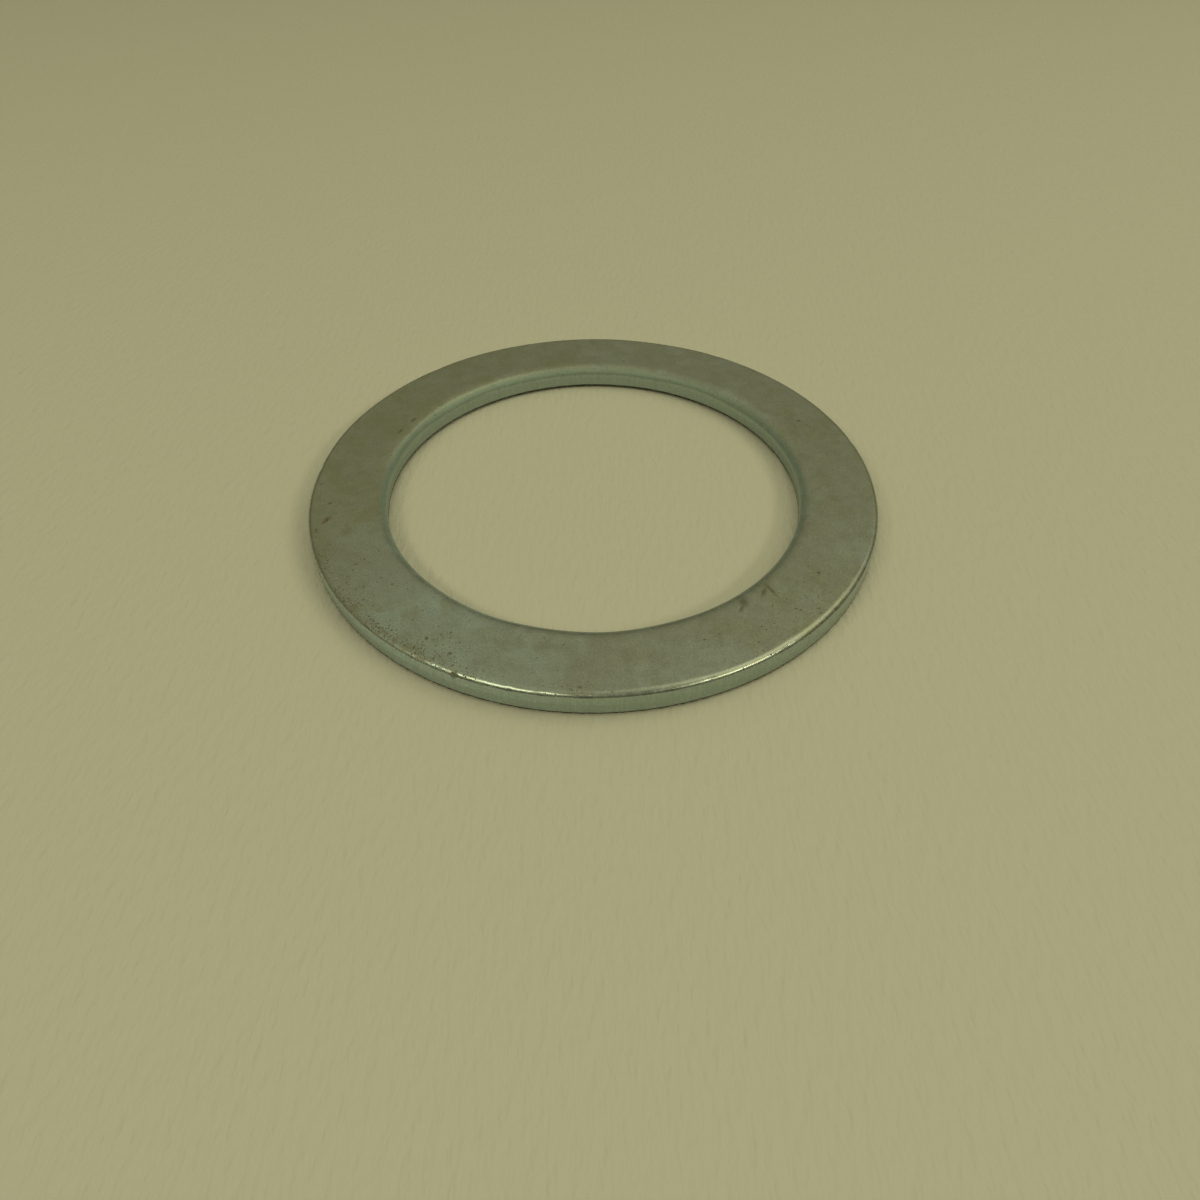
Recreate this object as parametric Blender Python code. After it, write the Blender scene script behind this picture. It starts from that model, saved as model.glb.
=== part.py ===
"""Flat washer: one ring, stamped from steel sheet and zinc plated. Metres, +Z up.

The ring lies on z = 0 with its bore on the Z axis. Both rims were sheared from the
same side, so both upper edges are rolled over and both lower edges are square.
"""

import math

import bmesh
import bpy

# Driving dimensions, in metres
OUTSIDE_DIAMETER = 0.0508
BORE_DIAMETER = 0.0375
THICKNESS = 0.0021
OUTER_ROLL_LENGTH = 0.00085  # along the surface, from the flat upper face to the wall
OUTER_ROLL_POWER = 1.4  # above 1, the roll starts gently and tightens towards the wall
BORE_ROLL_LENGTH = 0.0019
BORE_ROLL_POWER = 2.0
SHEARED_SHARE = 0.5  # share of the thickness, from the top, that is sheared straight
BREAK_TAPER = 0.00004  # how far the broken lower part of the wall leans back
EDGE_BREAK = 0.00015  # small bevel that tumbling leaves on the lower edges

ROLL_STEPS = 6  # straight runs along each rolled edge
SEGMENTS = 144  # facets round the ring
WELD_DISTANCE = 1e-6
SHARP_ANGLE = math.radians(28)

# Bright zinc plate
ZINC_COLOUR = (0.60, 0.64, 0.61, 1.0)
ZINC_ROUGHNESS = 0.36


def clear_scene():
    for obj in list(bpy.data.objects):
        bpy.data.objects.remove(obj, do_unlink=True)


def zinc_material():
    material = bpy.data.materials.new("zinc_plate")
    material.use_nodes = True
    shader = material.node_tree.nodes["Principled BSDF"]
    shader.inputs["Base Color"].default_value = ZINC_COLOUR
    shader.inputs["Metallic"].default_value = 1.0
    shader.inputs["Roughness"].default_value = ZINC_ROUGHNESS
    return material


def rolled_edge(length, power):
    """Points (reach, drop) along a rolled edge, from the flat face to the wall.

    The surface tilts from level to upright as the given power of the share of the
    length that is behind it, so each run adds its cosine and its sine.
    """
    run = length / ROLL_STEPS
    reach, drop = 0.0, 0.0
    points = [(reach, drop)]
    for step in range(ROLL_STEPS):
        tilt = math.radians(90) * ((step + 0.5) / ROLL_STEPS) ** power
        reach += run * math.cos(tilt)
        drop += run * math.sin(tilt)
        points.append((reach, drop))
    return points


def wall_profile(radius, outward, roll):
    """Points (radius, height) down one wall, from the upper face to the lower face.

    outward is 1 on the outer wall, whose metal lies inside it, and -1 on the bore.
    roll is that side's rolled edge.
    """
    roll_width = roll[-1][0]
    points = []
    for reach, drop in roll:
        points.append((radius - outward * (roll_width - reach), THICKNESS - drop))
    points.append((radius, THICKNESS * (1 - SHEARED_SHARE)))
    foot = radius - outward * BREAK_TAPER
    points.append((foot, EDGE_BREAK))
    points.append((foot - outward * EDGE_BREAK, 0.0))
    return points


def washer_section():
    """The closed section at +X: down the outer wall, then up the bore wall."""
    outer_roll = rolled_edge(OUTER_ROLL_LENGTH, OUTER_ROLL_POWER)
    bore_roll = rolled_edge(BORE_ROLL_LENGTH, BORE_ROLL_POWER)
    outer = wall_profile(OUTSIDE_DIAMETER / 2, 1, outer_roll)
    bore = wall_profile(BORE_DIAMETER / 2, -1, bore_roll)
    return outer + bore[::-1]


def make_washer():
    ring = bmesh.new()
    corners = [ring.verts.new((radius, 0.0, height)) for radius, height in washer_section()]
    for here, after in zip(corners, corners[1:] + corners[:1]):
        ring.edges.new((here, after))
    bmesh.ops.spin(
        ring,
        geom=ring.verts[:] + ring.edges[:],
        cent=(0.0, 0.0, 0.0),
        axis=(0.0, 0.0, 1.0),
        angle=2 * math.pi,
        steps=SEGMENTS,
    )
    bmesh.ops.remove_doubles(ring, verts=ring.verts[:], dist=WELD_DISTANCE)
    bmesh.ops.recalc_face_normals(ring, faces=ring.faces[:])

    mesh = bpy.data.meshes.new("flat_washer")
    ring.to_mesh(mesh)
    ring.free()
    mesh.shade_smooth()
    mesh.set_sharp_from_angle(angle=SHARP_ANGLE)
    mesh.materials.append(zinc_material())
    washer = bpy.data.objects.new("flat_washer", mesh)
    bpy.context.scene.collection.objects.link(washer)
    return washer


clear_scene()
make_washer()
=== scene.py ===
import math

import bpy
import numpy as np
from mathutils import Matrix, Vector


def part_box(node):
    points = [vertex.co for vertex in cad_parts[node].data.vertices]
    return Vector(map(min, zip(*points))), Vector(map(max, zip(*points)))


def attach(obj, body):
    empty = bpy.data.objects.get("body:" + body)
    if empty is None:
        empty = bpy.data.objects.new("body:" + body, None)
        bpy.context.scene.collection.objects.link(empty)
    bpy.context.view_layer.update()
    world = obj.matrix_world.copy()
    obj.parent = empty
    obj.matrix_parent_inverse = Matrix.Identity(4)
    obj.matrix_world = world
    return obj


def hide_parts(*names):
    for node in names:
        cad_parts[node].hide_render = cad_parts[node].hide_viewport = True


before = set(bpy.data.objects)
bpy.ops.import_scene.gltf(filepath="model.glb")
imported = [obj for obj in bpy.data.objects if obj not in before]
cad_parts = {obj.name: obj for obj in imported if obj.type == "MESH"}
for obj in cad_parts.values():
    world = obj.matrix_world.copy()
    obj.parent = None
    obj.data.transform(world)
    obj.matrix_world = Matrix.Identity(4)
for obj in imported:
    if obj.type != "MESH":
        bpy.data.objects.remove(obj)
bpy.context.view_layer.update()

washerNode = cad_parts["flat_washer"]
nodeLow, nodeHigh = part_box("flat_washer")
outerRadius = (nodeHigh.x - nodeLow.x) / 2
thickness = nodeHigh.z - nodeLow.z


def boreRadiusOf(node):
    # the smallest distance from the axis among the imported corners
    corners = np.empty(len(node.data.vertices) * 3)
    node.data.vertices.foreach_get("co", corners)
    corners = corners.reshape(-1, 3)
    return float(np.hypot(corners[:, 0], corners[:, 1]).min())


boreRadius = boreRadiusOf(washerNode)
print(f"frame: {outerRadius * 2000:.1f} mm across, bore {boreRadius * 2000:.1f} mm")
print(f"frame: {thickness * 1000:.2f} mm thick")

ringShape = {
    "columns": 840,  # round the ring
    "frontCrowding": 0.30,  # how much closer the columns stand at the front than at the back
    "topRows": 26,  # across the upper face
    "bottomRows": 16,
    "rollRows": 15,  # down each rolled edge
    "shearedRows": 7,  # down the straight-cut band
    "brokenRows": 9,  # down the torn band
    "lowerRows": 5,  # round each lower edge
    "rollLength": {1: 0.00085, -1: 0.00195},  # along the surface, outer rim and bore
    "rollPower": {1: 1.4, -1: 2.1},  # above 1, the roll starts gently and tightens towards the wall
    "rollWander": {"size": 0.07, "count": 9, "perTurn": (1, 14), "perMetre": (0, 0)},  # of its length
    "shearedShare": 0.5,  # of the thickness, from the top
    "shearedWander": {"size": 0.00010, "count": 26, "perTurn": (3, 90), "perMetre": (0, 0)},
    "leastSheared": 0.00010,  # the straight-cut band is never narrower than this
    "breakTaper": 0.00001,  # how far the torn band leans back by its foot
    "breakStep": 0.000006,  # ledge where the torn band starts
    "stepShare": 0.2,  # of the torn band, over which the ledge comes in
    "lowerRadius": 0.00007,  # of the small round on each lower edge
    "burrHeight": 0.000025,  # the lower face stands this far off the floor, on its burr
    "seed": 41,
}

# relief: size in metres, number of waves in the sum, and how many of a wave's lengths
# go round the ring and into a metre along the section
ringRelief = {
    # soft unevenness of the rolled sheet
    "sheet": {"size": 0.0000045, "count": 40, "perTurn": (8, 70), "perMetre": (-500, 500)},
    # upright drag lines on the walls
    "scores": {"size": 0.0000020, "count": 60, "perTurn": (120, 400), "perMetre": (0, 0)},
    # roughness of the torn band
    "tears": {"size": 0.0000050, "count": 70, "perTurn": (60, 400), "perMetre": (-1400, 1400)},
    # raggedness of the lower edge
    "burr": {"size": 0.000024, "count": 60, "perTurn": (90, 400), "perMetre": (-900, 900)},
    # unevenness of the rolled corners
    "ripple": {"size": 0.0000011, "count": 40, "perTurn": (20, 150), "perMetre": (-300, 300)},
    "tearSink": 0.6,  # how far the torn band lies below the wall, in its own size
    "burrReach": (-1.6, 0.9),  # the burr's deepest bite and highest tooth, in its own size
    "scoresLeft": 0.4,  # share of the drag lines that reach the torn band
    "knockDrop": 0.22,  # knocks lie this share of the roll's length below the face
}

# where each finish begins and where it is full: the first three by the sine of the surface's
# tilt, the last two by height in metres
finishBands = {
    "upright": (0.80, 1.0),
    "corner": (0.25, 0.75),
    "boreTone": (0.22, 0.72),
    # lowerEdge: the band at the foot of each wall that holds the burr and the painted shade
    "lowerEdge": (0.00028, 0.00004),
    "tornBlur": 0.00006,  # either side of the line where the tearing starts
}

# small knocks on the upper outer corner: turn in degrees from +X, width, height and depth in metres
rimKnocks = [
    {"turn": 246.1, "width": 0.00024, "height": 0.00020, "depth": 0.000065},
    {"turn": 242.8, "width": 0.00042, "height": 0.00020, "depth": 0.000030},
    {"turn": 251.0, "width": 0.00030, "height": 0.00018, "depth": 0.000022},
    {"turn": 255.6, "width": 0.00028, "height": 0.00020, "depth": 0.000040},
    {"turn": 261.4, "width": 0.00060, "height": 0.00022, "depth": 0.000045},
    {"turn": 268.2, "width": 0.00050, "height": 0.00020, "depth": 0.000025},
    {"turn": 289.0, "width": 0.00035, "height": 0.00018, "depth": 0.000022},
    {"turn": 304.5, "width": 0.00045, "height": 0.00018, "depth": 0.000026},
    {"turn": 318.0, "width": 0.00035, "height": 0.00018, "depth": 0.000030},
    {"turn": 12.0, "width": 0.00050, "height": 0.00020, "depth": 0.000040},
    {"turn": 58.0, "width": 0.00040, "height": 0.00020, "depth": 0.000045},
    {"turn": 131.0, "width": 0.00060, "height": 0.00022, "depth": 0.000040},
    {"turn": 176.0, "width": 0.00045, "height": 0.00020, "depth": 0.000050},
]


def easeShare(value, low, high):
    # 0 below low, 1 above high, and a smooth cubic step between them
    share = np.clip((value - low) / (high - low), 0.0, 1.0)
    return share * share * (3.0 - 2.0 * share)


def turnBetween(turn, place):
    # how far turn is past a place given in degrees, wrapped to within half a turn either way
    return np.angle(np.exp(1j * (turn - math.radians(place))))


def ringWaves(turn, along, chance, waves):
    # sum of cosines, each a whole number of waves round the ring so that it closes, and a
    # chosen number of waves per metre along the section; scaled to about 1
    total = np.zeros(np.broadcast(turn, along).shape)
    least, most = waves["perTurn"]
    for _ in range(waves["count"]):
        around = chance.integers(least, most + 1)
        across = chance.uniform(*waves["perMetre"]) * 2 * math.pi
        phase = chance.uniform(0.0, 2 * math.pi)
        total += np.cos(around * turn + across * along + phase)
    return total / math.sqrt(waves["count"])


def rollCurve(rows, power):
    # tilt rises from level to upright as a power of the share travelled; reach and drop
    # are the running sums of its cosine and sine, for a roll of length 1
    steps = 399
    fine = np.linspace(0.0, 1.0, steps + 1)
    tilt = math.pi / 2 * fine ** power
    middle = (tilt[1:] + tilt[:-1]) / 2
    reach = np.concatenate([[0.0], np.cumsum(np.cos(middle))]) / steps
    drop = np.concatenate([[0.0], np.cumsum(np.sin(middle))]) / steps
    share = np.linspace(0.0, 1.0, rows + 1)
    return np.interp(share, fine, reach), np.interp(share, fine, drop), np.interp(share, fine, tilt)


def everyTurn(turn, row):
    # one row of values, the same at every place round the ring
    return np.broadcast_to(row, (len(turn), len(row)))


def wallSurface(turn, wallRadius, outward, chance, shape):
    # one wall as a grid, turn by rows, from the flat upper face down to the flat lower face:
    # the roll is its curve times a wandering length, the straight-cut band drops plumb to a
    # wandering line, the torn band leans back by a small step and a taper, and the lower
    # edge is a quarter circle
    reach, drop, tilt = rollCurve(shape["rollRows"], shape["rollPower"][outward])
    rollWander = shape["rollWander"]
    wander = 1.0 + rollWander["size"] * ringWaves(turn, 0.0, chance, rollWander)
    length = shape["rollLength"][outward] * wander
    rollRadius = wallRadius - outward * length * (reach[-1] - reach)
    rollHeight = thickness - length * drop
    rollEnd = thickness - length * drop[-1]

    shearedWander = shape["shearedWander"]
    shearedFoot = thickness * (1 - shape["shearedShare"])
    shearedFoot = shearedFoot + shearedWander["size"] * ringWaves(turn, 0.0, chance, shearedWander)
    shearedFoot = np.minimum(shearedFoot, rollEnd - shape["leastSheared"])
    share = np.linspace(0.0, 1.0, shape["shearedRows"] + 1)[1:]
    shearedHeight = rollEnd + (shearedFoot - rollEnd) * share
    shearedRadius = np.full(shearedHeight.shape, wallRadius)

    footHeight = shape["burrHeight"] + shape["lowerRadius"]
    share = np.linspace(0.0, 1.0, shape["brokenRows"] + 1)[1:]
    brokenHeight = shearedFoot + (footHeight - shearedFoot) * share
    lean = shape["breakStep"] * easeShare(share, 0.0, shape["stepShare"])
    lean = lean + (shape["breakTaper"] - shape["breakStep"]) * share
    brokenRadius = everyTurn(turn, wallRadius - outward * lean)

    angle = math.pi / 2 * np.linspace(0.0, 1.0, shape["lowerRows"] + 1)[1:]
    centre = wallRadius - outward * (shape["breakTaper"] + shape["lowerRadius"])
    lowerRadius = everyTurn(turn, centre + outward * shape["lowerRadius"] * np.cos(angle))
    lowerHeight = everyTurn(turn, footHeight - shape["lowerRadius"] * np.sin(angle))

    radius = np.concatenate([rollRadius, shearedRadius, brokenRadius, lowerRadius], axis=1)
    height = np.concatenate([rollHeight, shearedHeight, brokenHeight, lowerHeight], axis=1)
    straight = np.full(shape["shearedRows"] + shape["brokenRows"], math.pi / 2)
    facing = np.concatenate([tilt, straight, math.pi / 2 + angle])  # 0 is straight up
    return radius, height, facing


def rowsBetween(start, end, rows):
    # evenly spaced rows between two edges of a face, without the edges themselves
    share = np.linspace(0.0, 1.0, rows + 2)[1:-1]
    return start + (end - start) * share


def ringSection(turn, chance, shape):
    # the closed section at each place round the ring: down the outer wall, straight across
    # underneath, up the bore wall and straight back across the upper face
    outerRadii, outerHeights, outerFacing = wallSurface(turn, outerRadius, 1, chance, shape)
    boreRadii, boreHeights, boreFacing = wallSurface(turn, boreRadius, -1, chance, shape)
    bottomRadii = rowsBetween(outerRadii[:, -1:], boreRadii[:, -1:], shape["bottomRows"])
    bottomHeights = np.full(bottomRadii.shape, shape["burrHeight"])
    topRadii = rowsBetween(boreRadii[:, :1], outerRadii[:, :1], shape["topRows"])
    topHeights = np.full(topRadii.shape, thickness)

    wallRows = len(outerFacing)
    rows = [wallRows, shape["bottomRows"], wallRows, shape["topRows"]]
    under = np.full(shape["bottomRows"], math.pi)
    level = np.zeros(shape["topRows"])
    return {
        "turn": turn,
        "radius": np.concatenate([outerRadii, bottomRadii, boreRadii[:, ::-1], topRadii], axis=1),
        "height": np.concatenate([outerHeights, bottomHeights, boreHeights[:, ::-1], topHeights], axis=1),
        "side": np.repeat([1.0, 0.0, -1.0, 0.0], rows),  # 1 on the outer wall, -1 on the bore's
        "facing": np.concatenate([outerFacing, under, boreFacing[::-1], level]),
    }


def finishShares(ring, shape, bands):
    # how far each point belongs to each finish, from 0 to 1: smooth steps over the sine of the
    # surface's tilt, and over the height where the tearing and the lower edge begin
    side = ring["side"]
    facing = ring["facing"]
    height = ring["height"]
    outwards = side * np.sin(facing)
    upright = easeShare(np.abs(outwards), *bands["upright"])
    corner = easeShare(np.sin(facing), *bands["corner"]) * (np.cos(facing) > 0.02)
    wallTone = np.where(side < 0, easeShare(-outwards, *bands["boreTone"]), upright)
    shearedFoot = thickness * (1 - shape["shearedShare"])
    torn = easeShare(-height, -shearedFoot - bands["tornBlur"], -shearedFoot + bands["tornBlur"])
    begin, full = bands["lowerEdge"]
    turn = ring["turn"]
    return {
        "boreShare": everyTurn(turn, (side < 0) * 1.0),
        "uprightShare": everyTurn(turn, upright),
        "wallTone": everyTurn(turn, wallTone),
        "brokenShare": upright * torn,
        "cornerShare": everyTurn(turn, corner),
        "lowerShare": easeShare(-height, -begin, -full) * (side != 0),
    }


def surfaceRise(ring, shares, chance, shape, relief, knocks):
    # how far each point moves out along the surface's own direction: each kind of relief is
    # its waves times its size times the share of the finish that it belongs to
    turn = ring["turn"]
    radius = ring["radius"]
    height = ring["height"]
    flat = np.abs(np.cos(ring["facing"])) > 0.999
    upright = shares["uprightShare"]
    broken = shares["brokenShare"]
    lowerEdge = shares["lowerShare"]
    sheet = ringWaves(turn, radius, chance, relief["sheet"])
    scores = ringWaves(turn, 0.0, chance, relief["scores"])
    tears = ringWaves(turn, height, chance, relief["tears"])
    burr = ringWaves(turn, height, chance, relief["burr"])
    ripple = ringWaves(turn, radius + height, chance, relief["ripple"])
    scoresLost = 1 - relief["scoresLeft"]
    rise = relief["sheet"]["size"] * sheet * flat
    rise = rise + relief["scores"]["size"] * scores * upright * (1 - scoresLost * broken)
    rise = rise + relief["tears"]["size"] * (tears - relief["tearSink"]) * broken * (1 - lowerEdge)
    rise = rise + relief["ripple"]["size"] * ripple * shares["cornerShare"]
    rise = rise + relief["burr"]["size"] * np.clip(burr, *relief["burrReach"]) * lowerEdge

    # a knock is a dent whose depth falls off as a bell curve round the rim and down the corner
    rollMiddle = thickness - shape["rollLength"][1] * relief["knockDrop"]
    for knock in knocks:
        aside = turnBetween(turn, knock["turn"]) * outerRadius / knock["width"]
        down = (height - rollMiddle) / knock["height"]
        rise = rise - knock["depth"] * np.exp(-aside ** 2 - down ** 2) * (ring["side"] > 0)
    return rise


def ringSurface(shape, relief, bands, knocks):
    # columns stand closer together at the front, by a sine of the turn; each column holds the
    # closed section, moved along its own outward direction by the relief
    chance = np.random.default_rng(shape["seed"])
    step = np.arange(shape["columns"]) / shape["columns"] * 2 * math.pi
    turn = step - shape["frontCrowding"] * np.sin(step - math.radians(270))
    turn = turn[:, None]
    ring = ringSection(turn, chance, shape)
    shares = finishShares(ring, shape, bands)
    rise = surfaceRise(ring, shares, chance, shape, relief, knocks)
    radius = ring["radius"] + ring["side"] * np.sin(ring["facing"]) * rise
    height = np.maximum(ring["height"] + np.cos(ring["facing"]) * rise, 0.0)
    points = np.stack([radius * np.cos(turn), radius * np.sin(turn), height], axis=-1)
    return points, shares, turn, radius


def closedGridMesh(name, points, shares):
    # quads between neighbouring columns and rows, both of which close on themselves; the
    # volume is the sum over the triangles of one corner dotted with the cross of the others
    columns, rows = points.shape[:2]
    here = np.arange(columns * rows).reshape(columns, rows)
    beside = np.roll(here, -1, axis=0)
    quads = np.stack([here, np.roll(here, -1, axis=1), np.roll(beside, -1, axis=1), beside], axis=-1)
    quads = quads.reshape(-1, 4)
    mesh = bpy.data.meshes.new(name)
    mesh.vertices.add(columns * rows)
    mesh.vertices.foreach_set("co", points.astype(np.float32).ravel())
    mesh.loops.add(quads.size)
    mesh.loops.foreach_set("vertex_index", quads.astype(np.int32).ravel())
    mesh.polygons.add(len(quads))
    mesh.polygons.foreach_set("loop_start", np.arange(0, quads.size, 4, dtype=np.int32))
    mesh.update(calc_edges=True)
    mesh.validate()
    mesh.shade_smooth()
    for label, values in shares.items():
        layer = mesh.attributes.new(label, "FLOAT", "POINT")
        layer.data.foreach_set("value", np.ascontiguousarray(values, np.float32).ravel())
    corners = points.reshape(-1, 3)[quads]
    volume = np.einsum("ij,ij->", corners[:, 0], np.cross(corners[:, 1], corners[:, 2]))
    volume += np.einsum("ij,ij->", corners[:, 0], np.cross(corners[:, 2], corners[:, 3]))
    print(f"{name}: {len(quads) * 2} triangles, {volume / 6 * 1e9:.1f} mm3")
    return mesh


# where the plate is pitted: turn and span in degrees, reach in from the outer rim in metres
pittedPatches = [
    {"turn": 238.0, "span": 6.0, "reach": 0.0012, "amount": 1.0},
    {"turn": 242.0, "span": 6.0, "reach": 0.0024, "amount": 0.55},
    {"turn": 230.0, "span": 7.0, "reach": 0.0011, "amount": 0.95},
    {"turn": 219.0, "span": 8.0, "reach": 0.0009, "amount": 0.85},
    {"turn": 225.0, "span": 14.0, "reach": 0.0023, "amount": 0.26},
    {"turn": 207.0, "span": 7.0, "reach": 0.0010, "amount": 0.65},
    {"turn": 248.0, "span": 5.0, "reach": 0.0010, "amount": 0.35},
    {"turn": 267.0, "span": 5.0, "reach": 0.0012, "amount": 0.16},
    {"turn": 312.0, "span": 12.0, "reach": 0.0030, "amount": 0.10},
    {"turn": 95.0, "span": 14.0, "reach": 0.0016, "amount": 0.14},
]


def pittingOf(turn, radius, patches):
    # each patch fades as a bell curve round the ring and as a falling exponential from the rim
    total = np.zeros(np.broadcast(turn, radius).shape)
    for patch in patches:
        aside = np.degrees(turnBetween(turn, patch["turn"])) / patch["span"]
        inward = (outerRadius - radius) / patch["reach"]
        total = np.maximum(total, patch["amount"] * np.exp(-aside ** 2 - np.maximum(inward, 0.0) ** 1.5))
    return total


# where the plate leans towards a cooler or a warmer tone, by turn and span in degrees
plateTints = [
    {"turn": 236.0, "span": 26.0, "tone": "cool", "amount": 1.0},
    {"turn": 148.0, "span": 62.0, "tone": "warm", "amount": 1.0},
    {"turn": 10.0, "span": 34.0, "tone": "warm", "amount": 0.60},
    {"turn": 190.0, "span": 20.0, "tone": "warm", "amount": 1.0},
    {"turn": 318.0, "span": 24.0, "tone": "warm", "amount": 0.50},
]


def tintOf(turn, radius, tone, tints):
    # bell curves round the ring, the same across its width
    total = np.zeros(np.broadcast(turn, radius).shape)
    for tint in tints:
        if tint["tone"] == tone:
            aside = np.degrees(turnBetween(turn, tint["turn"])) / tint["span"]
            total = np.maximum(total, tint["amount"] * np.exp(-aside ** 2))
    return total


points, shares, turn, radius = ringSurface(ringShape, ringRelief, finishBands, rimKnocks)
shares["pitting"] = pittingOf(turn, radius, pittedPatches)
shares["coolness"] = tintOf(turn, radius, "cool", plateTints)
shares["warmth"] = tintOf(turn, radius, "warm", plateTints)
washer = bpy.data.objects.new("washerRing", closedGridMesh("washerRing", points, shares))
bpy.context.scene.collection.objects.link(washer)


def add(tree, kind, feeds=None, **settings):
    # a new shader node; feeds maps its inputs to values or to other nodes' outputs
    node = tree.nodes.new("ShaderNode" + kind)
    for label, value in settings.items():
        setattr(node, label, value)
    for label, value in (feeds or {}).items():
        if isinstance(value, bpy.types.NodeSocket):
            tree.links.new(value, node.inputs[label])
        else:
            node.inputs[label].default_value = value
    return node


def calc(tree, operation, first, second=0.0, third=0.0):
    # one sum; MULTIPLY_ADD gives first times second plus third
    return add(tree, "Math", {0: first, 1: second, 2: third}, operation=operation).outputs[0]


def stretch(tree, value, low, high, toLow=0.0, toHigh=1.0, kind="SMOOTHSTEP"):
    # toLow at low and toHigh at high, held beyond them, with a smooth or a straight line between
    feeds = {"Value": value, "From Min": low, "From Max": high, "To Min": toLow, "To Max": toHigh}
    return add(tree, "MapRange", feeds, interpolation_type=kind).outputs[0]


def sway(tree, value, least, most):
    # a straight line over the middle of a noise's values, from least to most
    return stretch(tree, value, 0.3, 0.7, least, most, "LINEAR")


def highest(tree, *values):
    # the largest of several shares
    total = values[0]
    for value in values[1:]:
        total = calc(tree, "MAXIMUM", total, value)
    return total


def blendTone(tree, share, first, second):
    # first times what is left of the share, plus second times the share
    return add(tree, "Mix", {0: share, 6: first, 7: second}, data_type="RGBA").outputs[2]


def cloud(tree, spot, size, detail=2.0, roughness=0.5, warp=0.0):
    # layered noise whose largest features are about size metres across
    feeds = {"Vector": spot, "Scale": 1.0 / size, "Detail": detail}
    feeds["Roughness"] = roughness
    feeds["Distortion"] = warp
    return add(tree, "TexNoise", feeds).outputs["Fac"]


def readShare(tree, label):
    # one of the mesh's own attributes
    return add(tree, "Attribute", attribute_name=label).outputs["Fac"]


zincFinish = {
    "plate": (0.528, 0.564, 0.545, 1.0),
    "coolPatch": (0.625, 0.738, 0.780, 1.0),
    "warmPatch": (0.480, 0.498, 0.408, 1.0),
    "wall": (0.430, 0.515, 0.490, 1.0),
    "coolWall": (0.520, 0.640, 0.660, 1.0),
    "torn": (0.405, 0.475, 0.445, 1.0),
    "pit": (0.140, 0.120, 0.085, 1.0),
    "stain": (0.380, 0.355, 0.260, 1.0),
    # painted shade: the near-black colour of the band at the foot of the walls
    "footShade": (0.085, 0.078, 0.058, 1.0),
    "rust": (0.150, 0.075, 0.040, 1.0),
    "smudge": (0.250, 0.260, 0.225, 1.0),
    # size, detail, roughness and warp of each noise, sizes in metres
    "clouds": {
        "patch": (0.0042, 2.0, 0.5, 0.4),
        "warmCloud": (0.0031, 3.0, 0.6, 0.8),
        "mottle": (0.0010, 3.0, 0.6, 0.6),
        "grain": (0.00016, 2.0, 0.6),
        "fine": (0.000072, 1.0),
        "crumbs": (0.00013, 3.0),
    },
    "hairs": {28: 0.00007, 107: 0.00006, 152: 0.00008},  # lie in degrees and width of each set
    "hairLength": 26,  # times its width
    "dragWidth": 0.00022,
    "dragSquash": 0.03,  # share of its height that is left to the noise
    # size of the cells, share of the local density and shift of the pattern, for each size of pit
    "pits": ((0.00042, 0.14, 0.0), (0.00025, 0.75, 0.0131), (0.00017, 2.1, 0.0277)),
    "strayPits": 0.002,  # density away from the pitted patches
    "markGrain": 5200.0,  # scale of the noise that frays the marks' edges
    "markFray": 0.00026,
    "markDepth": 0.0006,  # half height of a mark, so that it stays on the upper face
    "cover": {"smudge": 0.80, "rust": 0.85, "knock": 0.85, "pits": 0.80},
    "roughness": 0.34,
    # roughness added where each is full
    "rougher": {
        # blemish: the marks together with the painted shade at the foot of the walls
        "hairs": -0.08, "cornerShare": -0.06, "boreRoll": 0.38, "brokenShare": 0.06, "marksAndFootShade": 0.30,
    },
    # height in metres where each is full
    "relief": {
        "grain": 0.0000020, "fine": 0.0000007, "mottle": 0.0000030, "pits": -0.000022,
        "marks": -0.000010, "hairs": -0.0000008, "drags": 0.0000022, "crumbs": 0.000006,
    },
    "rubbedAway": 0.75,  # share of the fine relief that is gone from corners and walls
}

# single marks on the upper face: place by turn and radius, lie in degrees, half length and half width
faceMarks = [
    {"turn": 194.6, "radius": 0.0238, "lie": 62, "length": 0.00052, "width": 0.00020, "tone": "rust"},
    {"turn": 189.0, "radius": 0.0235, "lie": 20, "length": 0.00018, "width": 0.00011, "tone": "rust"},
    {"turn": 197.2, "radius": 0.0247, "lie": 100, "length": 0.00024, "width": 0.00012, "tone": "rust"},
    {"turn": 267.4, "radius": 0.0246, "lie": 10, "length": 0.00022, "width": 0.00014, "tone": "smudge"},
    {"turn": 305.4, "radius": 0.0200, "lie": 95, "length": 0.00062, "width": 0.00042, "tone": "smudge"},
    {"turn": 303.9, "radius": 0.0204, "lie": 60, "length": 0.00055, "width": 0.00018, "tone": "smudge"},
    {"turn": 313.0, "radius": 0.0204, "lie": 118, "length": 0.00090, "width": 0.00017, "tone": "smudge"},
    {"turn": 311.3, "radius": 0.0202, "lie": 70, "length": 0.00060, "width": 0.00022, "tone": "smudge"},
    {"turn": 23.0, "radius": 0.0220, "lie": 15, "length": 0.00030, "width": 0.00022, "tone": "smudge"},
    {"turn": 152.4, "radius": 0.0200, "lie": 55, "length": 0.00045, "width": 0.00016, "tone": "smudge"},
    {"turn": 158.6, "radius": 0.0201, "lie": 65, "length": 0.00050, "width": 0.00014, "tone": "smudge"},
    {"turn": 243.3, "radius": 0.0238, "lie": 30, "length": 0.00016, "width": 0.00013, "tone": "rust"},
    # the dark mark on the deepest rim knock is partly a damaged spot and partly painted shade, darkening the
    # notch that the knock cuts in the rim's highlight
    {"turn": 246.1, "radius": 0.0253, "lie": 60, "length": 0.00030, "width": 0.00026, "tone": "pit"},
]


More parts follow.
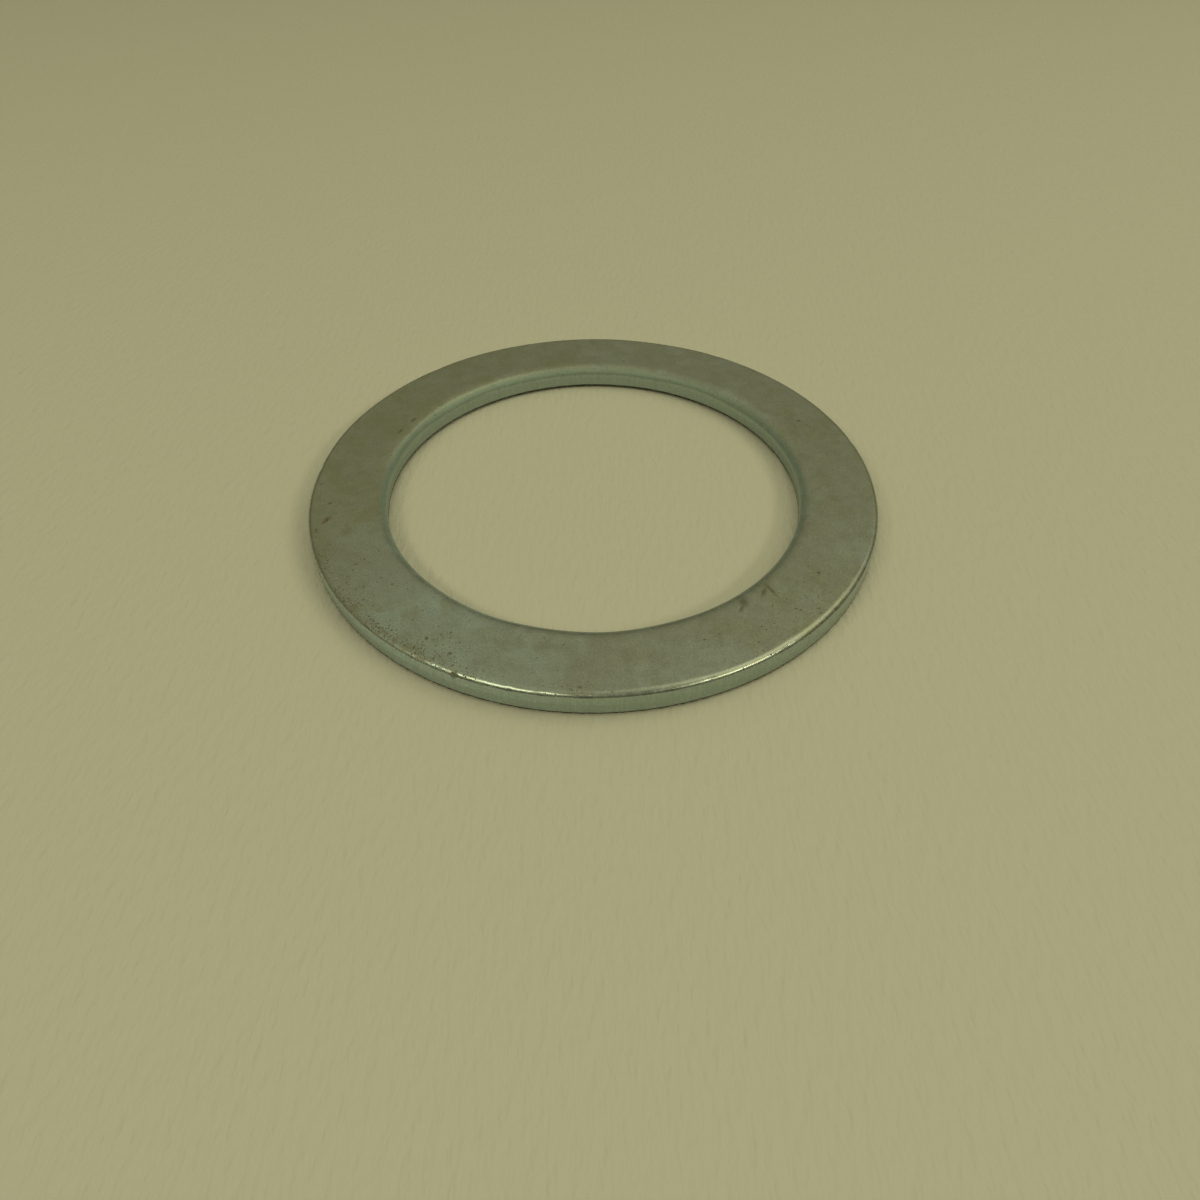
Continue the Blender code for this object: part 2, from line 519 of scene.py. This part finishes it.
def markShare(tree, spot, mark, depth):
    # 1 inside a small ellipse on the upper face, fading at its edge: the length of the
    # position measured from its centre, turned to its lie and divided by its half sizes
    place = math.radians(mark["turn"])
    centre = (mark["radius"] * math.cos(place), mark["radius"] * math.sin(place), thickness)
    feeds = {
        "Vector": spot,
        "Location": centre,
        "Rotation": (0.0, 0.0, math.radians(mark["lie"])),
        "Scale": (mark["length"], mark["width"], depth),
    }
    local = add(tree, "Mapping", feeds, vector_type="TEXTURE").outputs[0]
    far = add(tree, "VectorMath", {0: local}, operation="LENGTH").outputs["Value"]
    return stretch(tree, far, 1.5, 0.2)


def marksOf(tree, spot, tone, depth):
    # the highest share among all the marks of one tone
    total = 0.0
    for mark in faceMarks:
        if mark["tone"] == tone:
            total = calc(tree, "MAXIMUM", markShare(tree, spot, mark, depth), total)
    return total


def pitLayer(tree, spot, size, density, shift):
    # a cell pattern: each cell holds one pit when its own random number is under the local
    # density, and the pit's radius is another random number
    moved = add(tree, "Mapping", {"Vector": spot, "Location": (shift, -shift, shift)}).outputs[0]
    cells = add(tree, "TexVoronoi", {"Vector": moved, "Scale": 1.0 / size, "Randomness": 1.0})
    lots = add(tree, "SeparateColor", {0: cells.outputs["Color"]})
    reach = stretch(tree, lots.outputs[1], 0.0, 1.0, 0.16, 0.42, "LINEAR")
    near = calc(tree, "SUBTRACT", reach, cells.outputs["Distance"])
    shape = stretch(tree, near, -0.03, 0.12)
    chosen = calc(tree, "LESS_THAN", lots.outputs[0], density)
    return calc(tree, "MULTIPLY", shape, chosen)


def hairlines(tree, layers, finish):
    # scratches from tumbling against other washers: the peaks of noise drawn out along three
    # directions, kept where the mottle is high and off the walls
    hairs = 0.0
    for lie, width in finish["hairs"].items():
        turned = {
            "Vector": layers["spot"],
            "Rotation": (0.0, 0.0, math.radians(lie)),
            "Scale": (1.0, 1.0 / finish["hairLength"], 1.0),
        }
        drawn = add(tree, "Mapping", turned).outputs[0]
        line = stretch(tree, cloud(tree, drawn, width, 1.0), 0.70, 0.80)
        hairs = calc(tree, "MAXIMUM", line, hairs)
    hairs = calc(tree, "MULTIPLY", hairs, stretch(tree, layers["mottle"], 0.45, 0.65))
    return calc(tree, "MULTIPLY", hairs, layers["offWall"])


def dragLines(tree, layers, finish):
    # upright lines on the walls: noise squeezed to nothing along Z
    squeezed = {"Vector": layers["spot"], "Scale": (1.0, 1.0, finish["dragSquash"])}
    dragged = add(tree, "Mapping", squeezed).outputs[0]
    return cloud(tree, dragged, finish["dragWidth"], 3.0, 0.65)


def allPits(tree, layers, finish):
    # three sizes of pit, each with its share of a density that follows the pitted patches and
    # the mottle; few are left on the walls
    loose = calc(tree, "MULTIPLY_ADD", layers["mottle"], 0.9, 0.45)
    density = calc(tree, "MULTIPLY_ADD", layers["pitting"], loose, finish["strayPits"])
    pits = 0.0
    for size, portion, shift in finish["pits"]:
        local = calc(tree, "MULTIPLY", density, portion)
        pits = calc(tree, "MAXIMUM", pitLayer(tree, layers["spot"], size, local, shift), pits)
    wallLoss = calc(tree, "MULTIPLY", layers["uprightShare"], 0.85)
    return calc(tree, "MULTIPLY", pits, calc(tree, "SUBTRACT", 1.0, wallLoss))


def frayedSpot(tree, layers, finish):
    # the position moved a little by a fine noise centred on nothing, so that edges wander
    shake = add(tree, "TexNoise", {"Vector": layers["spot"], "Scale": finish["markGrain"]}).outputs["Color"]
    shake = add(tree, "VectorMath", {0: shake, 1: (0.5, 0.5, 0.5)}, operation="SUBTRACT").outputs[0]
    feeds = {0: shake, 1: (finish["markFray"], finish["markFray"], 0.0), 2: layers["spot"]}
    return add(tree, "VectorMath", feeds, operation="MULTIPLY_ADD").outputs[0]


def plateLayers(tree, finish):
    # every pattern that the plate's colour, roughness and relief are mixed from, by name
    layers = {"spot": add(tree, "TexCoord").outputs["Object"]}
    for label in shares:
        layers[label] = readShare(tree, label)
    for label, values in finish["clouds"].items():
        layers[label] = cloud(tree, layers["spot"], *values)
    mottle = layers["mottle"]
    layers["offWall"] = calc(tree, "SUBTRACT", 1.0, layers["uprightShare"])
    layers["hairs"] = hairlines(tree, layers, finish)
    layers["drags"] = dragLines(tree, layers, finish)
    layers["pits"] = allPits(tree, layers, finish)

    frayed = frayedSpot(tree, layers, finish)
    # knock: the dark mark on the rim knock, partly painted shade
    for label, tone in (("rust", "rust"), ("smudge", "smudge"), ("knock", "pit")):
        layers[label] = marksOf(tree, frayed, tone, finish["markDepth"])

    # haze: a dull stain between the pits; footShade: painted shade, a dark band in the foot of the walls
    # that stands in for the shadowed gap under the lower edge
    hazy = stretch(tree, mottle, 0.35, 0.62, 0.0, 0.65)
    haze = calc(tree, "MULTIPLY", stretch(tree, layers["pitting"], 0.12, 0.7), hazy)
    layers["haze"] = calc(tree, "MULTIPLY", haze, layers["offWall"])
    # painted shade at the foot of the walls, its strength mottled
    footShadeMottle = stretch(tree, mottle, 0.25, 0.6, 0.70, 1.0)
    layers["footShade"] = calc(tree, "MULTIPLY", stretch(tree, layers["lowerShare"], 0.12, 0.62), footShadeMottle)
    return layers


def plateColour(tree, layers, finish):
    # the plate's own tone, blended in turn towards its cool and warm patches, the walls and the
    # torn band, times a speckle near 1, then covered by stain, painted shade in the foot of the walls,
    # smudges, rust and pits
    coolPatch = stretch(tree, layers["patch"], 0.38, 0.64, -0.22, 0.26)
    cool = calc(tree, "MULTIPLY_ADD", layers["coolness"], 0.75, coolPatch)
    tone = blendTone(tree, cool, finish["plate"], finish["coolPatch"])
    warmPatch = stretch(tree, layers["warmCloud"], 0.42, 0.68, -0.28, 0.40)
    warm = calc(tree, "MULTIPLY_ADD", layers["warmth"], 0.85, warmPatch)
    tone = blendTone(tree, warm, tone, finish["warmPatch"])
    wall = blendTone(tree, layers["coolness"], finish["wall"], finish["coolWall"])
    tone = blendTone(tree, layers["wallTone"], tone, wall)
    torn = calc(tree, "MULTIPLY", layers["brokenShare"], stretch(tree, layers["mottle"], 0.3, 0.7, 0.2, 0.7))
    tone = blendTone(tree, torn, tone, finish["torn"])

    light = calc(tree, "ADD", sway(tree, layers["grain"], -0.13, 0.13), 1.0)
    light = calc(tree, "ADD", sway(tree, layers["mottle"], -0.06, 0.06), light)
    light = calc(tree, "MULTIPLY_ADD", layers["hairs"], 0.05, light)
    streak = sway(tree, layers["drags"], -0.06, 0.06)
    light = calc(tree, "MULTIPLY_ADD", streak, layers["uprightShare"], light)
    tone = add(tree, "VectorMath", {0: tone, 1: light}, operation="MULTIPLY").outputs[0]

    cover = finish["cover"]
    tone = blendTone(tree, layers["haze"], tone, finish["stain"])
    # paints the shade at the foot of the walls
    tone = blendTone(tree, layers["footShade"], tone, finish["footShade"])
    for label, colour in (("smudge", "smudge"), ("rust", "rust"), ("knock", "pit"), ("pits", "pit")):
        share = calc(tree, "MULTIPLY", layers[label], cover[label])
        tone = blendTone(tree, share, tone, finish[colour])
    return tone


def plateRoughness(tree, layers, finish):
    # satin plate with a little mottle and grain, smoother where the corner is rubbed and rougher
    # in the bore's roll, where torn, pitted or stained, and in the painted shade at the foot of the walls
    rough = calc(tree, "ADD", sway(tree, layers["mottle"], -0.035, 0.045), finish["roughness"])
    rough = calc(tree, "ADD", sway(tree, layers["grain"], -0.03, 0.03), rough)
    marksAndShade = [layers[label] for label in ("pits", "haze", "smudge", "rust", "footShade")]
    places = {
        **layers,
        "boreRoll": calc(tree, "MULTIPLY", layers["boreShare"], layers["cornerShare"]),
        "marksAndFootShade": highest(tree, *marksAndShade),
    }
    for label, amount in finish["rougher"].items():
        rough = calc(tree, "MULTIPLY_ADD", places[label], amount, rough)
    return rough


def plateRelief(tree, layers, finish):
    # sum of each pattern times its height, with the fine ones mostly rubbed off the corners
    # and walls
    height = finish["relief"]
    relief = calc(tree, "MULTIPLY", layers["grain"], height["grain"])
    relief = calc(tree, "MULTIPLY_ADD", layers["fine"], height["fine"], relief)
    relief = calc(tree, "MULTIPLY_ADD", layers["mottle"], height["mottle"], relief)
    rubbed = highest(tree, layers["cornerShare"], layers["uprightShare"])
    left = calc(tree, "MULTIPLY_ADD", rubbed, -finish["rubbedAway"], 1.0)
    relief = calc(tree, "MULTIPLY", relief, left)
    straight = calc(tree, "POWER", layers["uprightShare"], 4.0)
    places = {
        "pits": layers["pits"],
        "marks": highest(tree, layers["smudge"], layers["rust"]),
        "hairs": layers["hairs"],
        "drags": calc(tree, "MULTIPLY", layers["drags"], straight),
        "crumbs": calc(tree, "MULTIPLY", layers["crumbs"], layers["brokenShare"]),
    }
    for label, place in places.items():
        relief = calc(tree, "MULTIPLY_ADD", place, height[label], relief)
    return relief


def zincPlate(finish):
    # bare metal, except in pits, rust and knocks, whose crust is mostly not metal; colour,
    # roughness and relief come from the mixes above
    material = bpy.data.materials.new("zincPlate")
    material.use_nodes = True
    tree = material.node_tree
    shader = tree.nodes["Principled BSDF"]
    layers = plateLayers(tree, finish)
    tree.links.new(plateColour(tree, layers, finish), shader.inputs["Base Color"])
    tree.links.new(plateRoughness(tree, layers, finish), shader.inputs["Roughness"])
    crust = highest(tree, layers["pits"], layers["rust"], layers["knock"])
    tree.links.new(stretch(tree, crust, 0.2, 0.9, 1.0, 0.25), shader.inputs["Metallic"])
    relief = plateRelief(tree, layers, finish)
    bump = add(tree, "Bump", {"Strength": 1.0, "Distance": 1.0, "Height": relief})
    tree.links.new(bump.outputs[0], shader.inputs["Normal"])
    return material


washer.data.materials.append(zincPlate(zincFinish))
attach(washer, "root")
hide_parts("flat_washer")
print("washer finished")

studio = {
    "floorColour": (0.88, 0.863, 0.830, 1.0),
    "floorRoughness": 0.75,
    "floorGloss": 0.25,
    "floorHalf": 0.9,
    "floorDrop": 0.00022,  # the washer stands on the sheet's raised grain
    "grainWidth": 0.0006,
    "grainHeight": 0.00016,
    "grainDrawn": 0.36,  # the grain's width over its length, which runs along Y
    "lightColour": (1.0, 0.965, 0.555),
    # turn from -Y towards +X and rise above the floor in degrees, sizes in metres, power in watts
    "windows": {
        "leftWindow": {"turn": -41, "rise": 45, "far": 0.60, "size": (0.40, 0.115), "power": 0.47},
        "rightWindow": {"turn": 55, "rise": 37, "far": 0.60, "size": (0.28, 0.070), "power": 0.38},
        "sideWindow": {"turn": 106, "rise": 56, "far": 0.60, "size": (0.38, 0.38), "power": 0.31},
    },
    # height on the dome, from level to straight up, and its brightness there
    "skyLevels": ((0.0, 0.050), (0.12, 0.080), (0.36, 0.205), (0.62, 0.27), (0.80, 0.28), (1.0, 0.38)),
    "frontShare": 0.55,  # of the dome's light that is left on the camera's side
    "backdrop": (0.30, 0.29, 0.165, 1.0),
}


def floorSheet(settings):
    # a level square, its grain a noise drawn out along Y
    half = settings["floorHalf"]
    mesh = bpy.data.meshes.new("floorSheet")
    corners = [(-half, -half, 0), (half, -half, 0), (half, half, 0), (-half, half, 0)]
    mesh.from_pydata(corners, [], [(0, 1, 2, 3)])
    floor = bpy.data.objects.new("floorSheet", mesh)
    floor.location.z = -settings["floorDrop"]
    bpy.context.scene.collection.objects.link(floor)
    material = bpy.data.materials.new("paleSheet")
    material.use_nodes = True
    tree = material.node_tree
    shader = tree.nodes["Principled BSDF"]
    shader.inputs["Base Color"].default_value = settings["floorColour"]
    shader.inputs["Roughness"].default_value = settings["floorRoughness"]
    shader.inputs["Specular IOR Level"].default_value = settings["floorGloss"]
    spot = add(tree, "TexCoord").outputs["Object"]
    drawn = add(tree, "Mapping", {"Vector": spot, "Scale": (1.0, settings["grainDrawn"], 1.0)}).outputs[0]
    relief = calc(tree, "MULTIPLY", cloud(tree, drawn, settings["grainWidth"]), settings["grainHeight"])
    bump = add(tree, "Bump", {"Strength": 1.0, "Distance": 1.0, "Height": relief})
    tree.links.new(bump.outputs[0], shader.inputs["Normal"])
    mesh.materials.append(material)


def softLight(name, window, colour):
    # a glowing rectangle on a sphere round the washer, at its turn and rise, facing the middle
    turn = math.radians(window["turn"])
    rise = math.radians(window["rise"])
    aside = math.sin(turn) * math.cos(rise)
    ahead = -math.cos(turn) * math.cos(rise)
    data = bpy.data.lights.new(name, "AREA")
    data.shape = "RECTANGLE"
    data.size = window["size"][0]
    data.size_y = window["size"][1]
    data.energy = window["power"]
    data.color = colour
    lamp = bpy.data.objects.new(name, data)
    bpy.context.scene.collection.objects.link(lamp)
    lamp.location = Vector((aside, ahead, math.sin(rise))) * window["far"]
    lamp.rotation_euler = (math.radians(90) - rise, 0.0, turn)


def softSky(settings):
    # a dome whose brightness follows its height through a few stops, and dims towards the
    # camera's side; the camera itself sees a plain backdrop
    world = bpy.data.worlds.new("softSky")
    bpy.context.scene.world = world
    world.use_nodes = True
    tree = world.node_tree
    tree.nodes.clear()
    aim = add(tree, "TexCoord").outputs["Generated"]
    parts = add(tree, "SeparateXYZ", {0: aim})
    ramp = add(tree, "ValToRGB", {0: parts.outputs["Z"]})
    ramp.color_ramp.interpolation = "EASE"
    stops = ramp.color_ramp.elements
    for index, (place, level) in enumerate(settings["skyLevels"]):
        stop = stops[index] if index < 2 else stops.new(place)
        stop.position = place
        stop.color = [level * channel for channel in settings["lightColour"]] + [1.0]
    behind = stretch(tree, parts.outputs["Y"], -0.7, 0.5, settings["frontShare"], 1.0)
    backdrop = add(tree, "Background", {"Color": settings["backdrop"], "Strength": 1.0})
    dome = add(tree, "Background", {"Color": ramp.outputs[0], "Strength": behind})
    seen = add(tree, "LightPath").outputs["Is Camera Ray"]
    both = add(tree, "MixShader", {0: seen, 1: dome.outputs[0], 2: backdrop.outputs[0]})
    add(tree, "OutputWorld", {0: both.outputs[0]})


cameraSetup = {
    "lens": 25.38,
    "sensor": 36.0,
    "near": 0.002,
    "far": 10.0,
    "place": (0.0, -0.06221, 0.04916),
    "aim": (0.00044, -0.01387, 0.0),
    "roll": -0.16,  # degrees
}


def makeCamera(settings):
    # looks from its place at its aim, then rolls about that line
    data = bpy.data.cameras.new("camera")
    data.lens = settings["lens"]
    data.sensor_width = settings["sensor"]
    data.clip_start = settings["near"]
    data.clip_end = settings["far"]
    camera = bpy.data.objects.new("camera", data)
    bpy.context.scene.collection.objects.link(camera)
    camera.location = settings["place"]
    gaze = Vector(settings["aim"]) - Vector(settings["place"])
    facing = gaze.to_track_quat("-Z", "Y").to_matrix().to_4x4()
    roll = Matrix.Rotation(math.radians(settings["roll"]), 4, "Z")
    camera.rotation_euler = (facing @ roll).to_euler()
    bpy.context.scene.camera = camera


floorSheet(studio)
for name, window in studio["windows"].items():
    softLight(name, window, studio["lightColour"])
softSky(studio)
makeCamera(cameraSetup)
bpy.context.scene.view_settings.view_transform = "Standard"
print("studio set")
